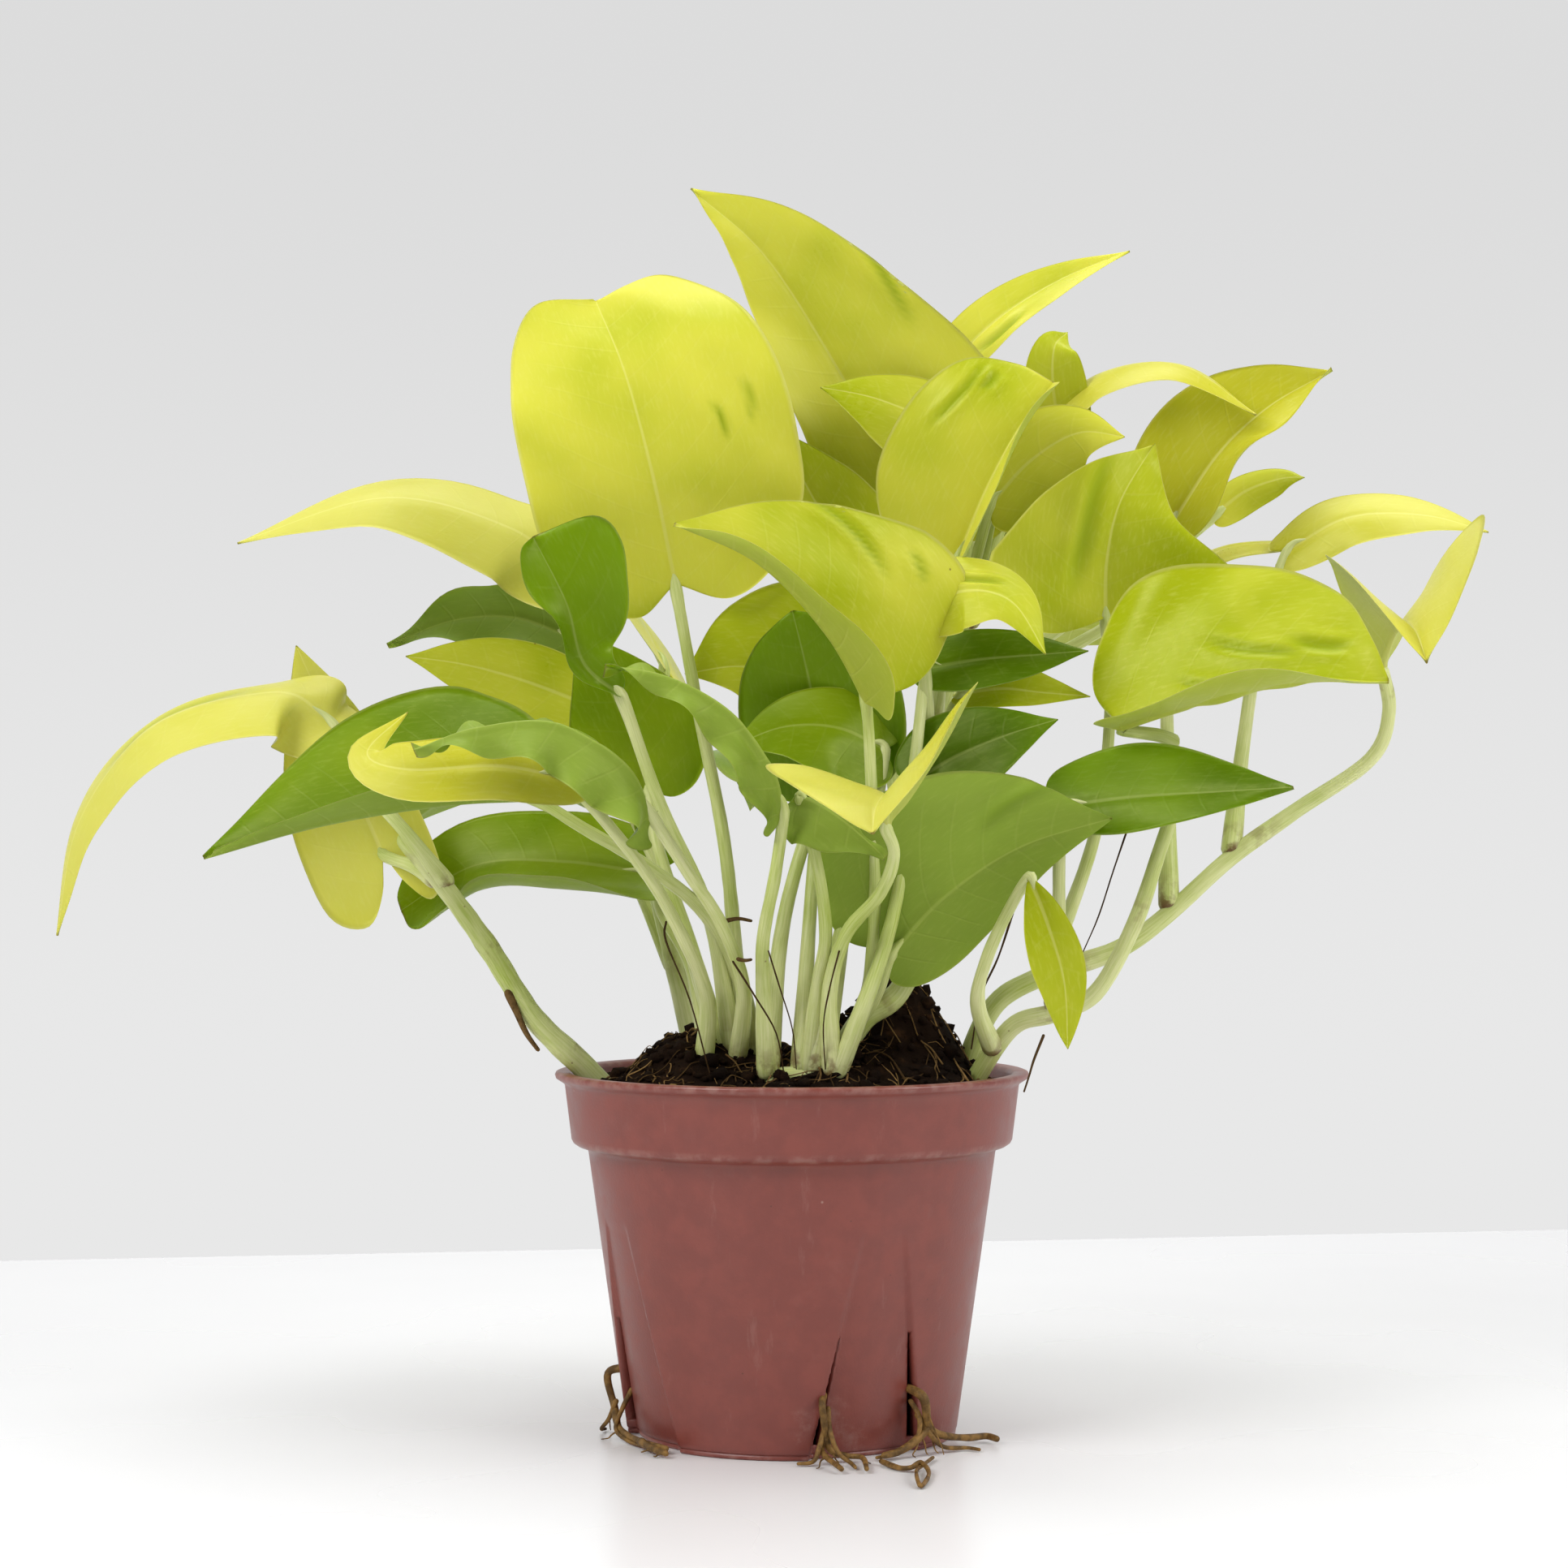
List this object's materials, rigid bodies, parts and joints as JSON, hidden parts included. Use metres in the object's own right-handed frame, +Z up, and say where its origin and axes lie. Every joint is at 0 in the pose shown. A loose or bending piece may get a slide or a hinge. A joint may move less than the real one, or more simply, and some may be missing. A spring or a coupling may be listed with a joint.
{
  "type": "potted pothos plant",
  "caption": "Golden pothos with lime and green heart-shaped leaves on long stalks, growing from peat in a tapered terracotta-brown plastic nursery pot.",
  "frame": {"origin": "centre of the pot's underside, on the surface it stands on", "axes": "+Z up along the pot's axis, -Y towards the front of the plant, +X to the right seen from the front"},
  "size_m": [0.362, 0.2165, 0.315],
  "materials": {
    "pot_plastic": "matte",
    "peat": "matte",
    "stalk": "satin",
    "root": "matte",
    "leaf_yellow": "satin",
    "leaf_lime": "satin",
    "leaf_green": "satin",
    "leaf_deep": "satin"
  },
  "bodies": {
    "root": {"pot": "pot_plastic", "soil": "peat", "stem_left": "stalk", "stem_right": "stalk", "stem_right_front": "stalk", "stem_main": "stalk", "stem_centre": "stalk", "stem_centre_left": "stalk", "stem_back_left": "stalk", "stem_back_right": "stalk", "root_left": "root", "root_middle": "root", "root_right": "root", "leaf_round": "leaf_lime", "leaf_crown": "leaf_lime", "leaf_centre": "leaf_lime", "leaf_big_right": "leaf_lime", "leaf_right_large": "leaf_lime", "leaf_spoon": "leaf_lime", "leaf_right_high": "leaf_yellow", "leaf_green_left": "leaf_green", "leaf_far_left": "leaf_yellow", "leaf_right_folded": "leaf_yellow", "leaf_left_long": "leaf_yellow", "leaf_grey_large": "leaf_green", "leaf_green_right": "leaf_deep", "leaf_wavy": "leaf_green", "leaf_wavy_small": "leaf_green", "leaf_twist_front": "leaf_yellow", "leaf_curly": "leaf_green", "leaf_small_yellow": "leaf_yellow", "leaf_lower_left": "leaf_green", "leaf_yellow_behind": "leaf_yellow", "leaf_twisted": "leaf_deep", "leaf_hanging": "leaf_lime", "leaf_arching": "leaf_yellow", "leaf_right_outer": "leaf_yellow", "leaf_upper_right": "leaf_lime", "leaf_right_of_centre": "leaf_lime", "leaf_behind_spoon": "leaf_lime", "leaf_mid_gap": "leaf_lime", "leaf_small_curl": "leaf_lime", "leaf_pale_back": "leaf_yellow", "leaf_far_back": "leaf_lime", "leaf_left_grey": "leaf_green", "leaf_left_lime": "leaf_lime", "leaf_inner_left": "leaf_green", "leaf_dark_centre": "leaf_deep", "leaf_inner_lime": "leaf_lime", "leaf_inner_green": "leaf_green", "leaf_dark_mid": "leaf_deep", "leaf_dark_right": "leaf_deep", "leaf_lime_low": "leaf_lime", "leaf_under_crown": "leaf_lime", "leaf_back_high": "leaf_lime", "leaf_back_left_high": "leaf_lime", "leaf_back_left_low": "leaf_green", "leaf_back_centre": "leaf_green", "leaf_back_right": "leaf_lime"}
  },
  "joints": []
}
